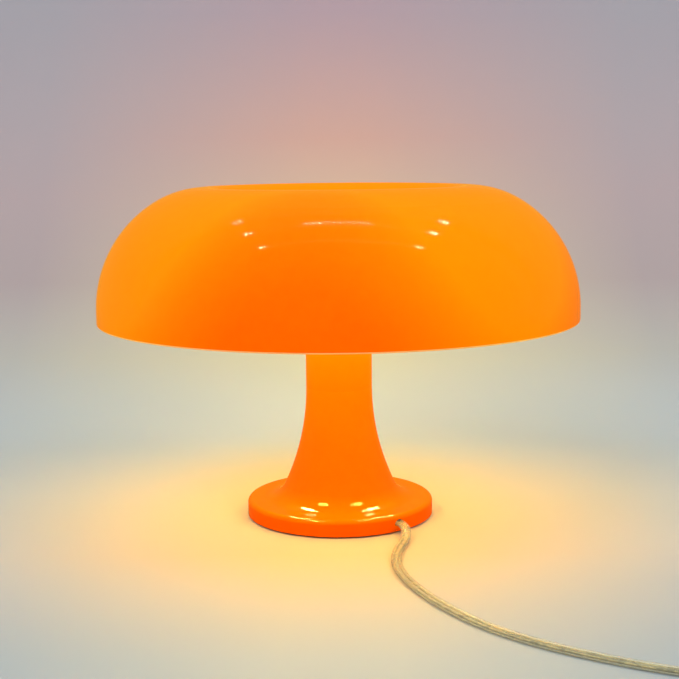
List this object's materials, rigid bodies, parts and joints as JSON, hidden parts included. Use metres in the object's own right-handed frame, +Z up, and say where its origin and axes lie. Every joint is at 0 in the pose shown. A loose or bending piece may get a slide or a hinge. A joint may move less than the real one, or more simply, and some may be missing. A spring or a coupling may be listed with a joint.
{
  "type": "mushroom table lamp",
  "caption": "Orange mushroom table lamp: a wide dome shade with a dished crown on a flared stem and round foot, with a clear flat cord, rocker switch and plug.",
  "frame": {"origin": "on the table, under the axis of the stem and shade", "axes": "+Z up along the stem's axis, front at -Y; the cord leaves the foot at the front right"},
  "size_m": [0.5649, 0.4635, 0.2226],
  "materials": {
    "orange_plastic": "glossy orange moulded plastic",
    "black_plastic": "fine matt",
    "white_plastic": "satin white",
    "holder_plastic": "satin white",
    "clear_plastic": "clear, glossy",
    "clear_cord": "clear sheath over bright wire strands",
    "wire": "insulated wire",
    "rubber": "matt black",
    "felt_ring": "pressed felt",
    "cast_iron": "as cast",
    "zinc_steel": "zinc plated",
    "brass": "drawn brass",
    "cap_metal": "rolled metal cap",
    "opal_glass": "opal white, lit"
  },
  "bodies": {
    "base": {"base_body": "orange_plastic", "bottom_cover": "black_plastic", "rubber_feet": "rubber", "base_screws": "zinc_steel", "ballast_weight": "cast_iron", "cord_grip": "clear_plastic", "terminal_block": "white_plastic", "base_leads": "wire", "stem_leads": "wire", "threaded_tube": "zinc_steel", "lower_washer": "zinc_steel", "lower_nut": "zinc_steel", "upper_washer": "zinc_steel", "upper_nut": "zinc_steel", "holder_hub": "white_plastic", "hub_lid": "white_plastic", "hub_screws": "zinc_steel", "holder_nipples": "zinc_steel", "nipple_nuts": "zinc_steel", "lead_connector": "white_plastic", "holder_leads": "wire", "lampholder_1": "holder_plastic", "lampholder_2": "holder_plastic", "lampholder_3": "holder_plastic", "lampholder_4": "holder_plastic", "screw_shell_1": "brass", "screw_shell_2": "brass", "screw_shell_3": "brass", "screw_shell_4": "brass", "centre_contact_1": "brass", "centre_contact_2": "brass", "centre_contact_3": "brass", "centre_contact_4": "brass", "lamp_cord": "clear_cord", "switch_base": "clear_plastic", "switch_cover": "clear_plastic", "switch_contacts": "brass", "switch_screws": "zinc_steel", "cord_to_coil": "clear_cord", "cord_coil": "clear_cord", "cord_tail": "clear_cord", "plug_body": "clear_plastic", "plug_pins": "brass"},
    "seat_ring": {"shade_seat_ring": "felt_ring"},
    "shade": {"shade": "orange_plastic"},
    "rocker": {"switch_rocker": "white_plastic"},
    "bulb_1": {"bulb_cap_1": "cap_metal", "bulb_collar_1": "white_plastic", "bulb_globe_1": "opal_glass"},
    "bulb_2": {"bulb_cap_2": "cap_metal", "bulb_collar_2": "white_plastic", "bulb_globe_2": "opal_glass"},
    "bulb_3": {"bulb_cap_3": "cap_metal", "bulb_collar_3": "white_plastic", "bulb_globe_3": "opal_glass"},
    "bulb_4": {"bulb_cap_4": "cap_metal", "bulb_collar_4": "white_plastic", "bulb_globe_4": "opal_glass"}
  },
  "joints": [
    {"name": "shade_turn", "type": "hinge", "parent": "base", "child": "seat_ring", "pos_m": [0, 0, 0.19], "axis": [0, 0, 1], "continuous": true},
    {"name": "shade_lift", "type": "slide", "parent": "seat_ring", "child": "shade", "axis": [0, 0, 1], "range_m": [0, 0.075]},
    {"name": "bulb_1_unscrew", "type": "slide", "parent": "base", "child": "bulb_1", "axis": [0.7071, 0.7071, 0], "range_m": [0, 0.026]},
    {"name": "bulb_2_unscrew", "type": "slide", "parent": "base", "child": "bulb_2", "axis": [-0.7071, 0.7071, 0], "range_m": [0, 0.026]},
    {"name": "bulb_3_unscrew", "type": "slide", "parent": "base", "child": "bulb_3", "axis": [-0.7071, -0.7071, 0], "range_m": [0, 0.026]},
    {"name": "bulb_4_unscrew", "type": "slide", "parent": "base", "child": "bulb_4", "axis": [0.7071, -0.7071, 0], "range_m": [0, 0.026]},
    {"name": "switch_rock", "type": "hinge", "parent": "base", "child": "rocker", "pos_m": [0.262, -0.291, 0.0126], "axis": [0, 1, 0], "range_deg": [-12, 0]}
  ]
}
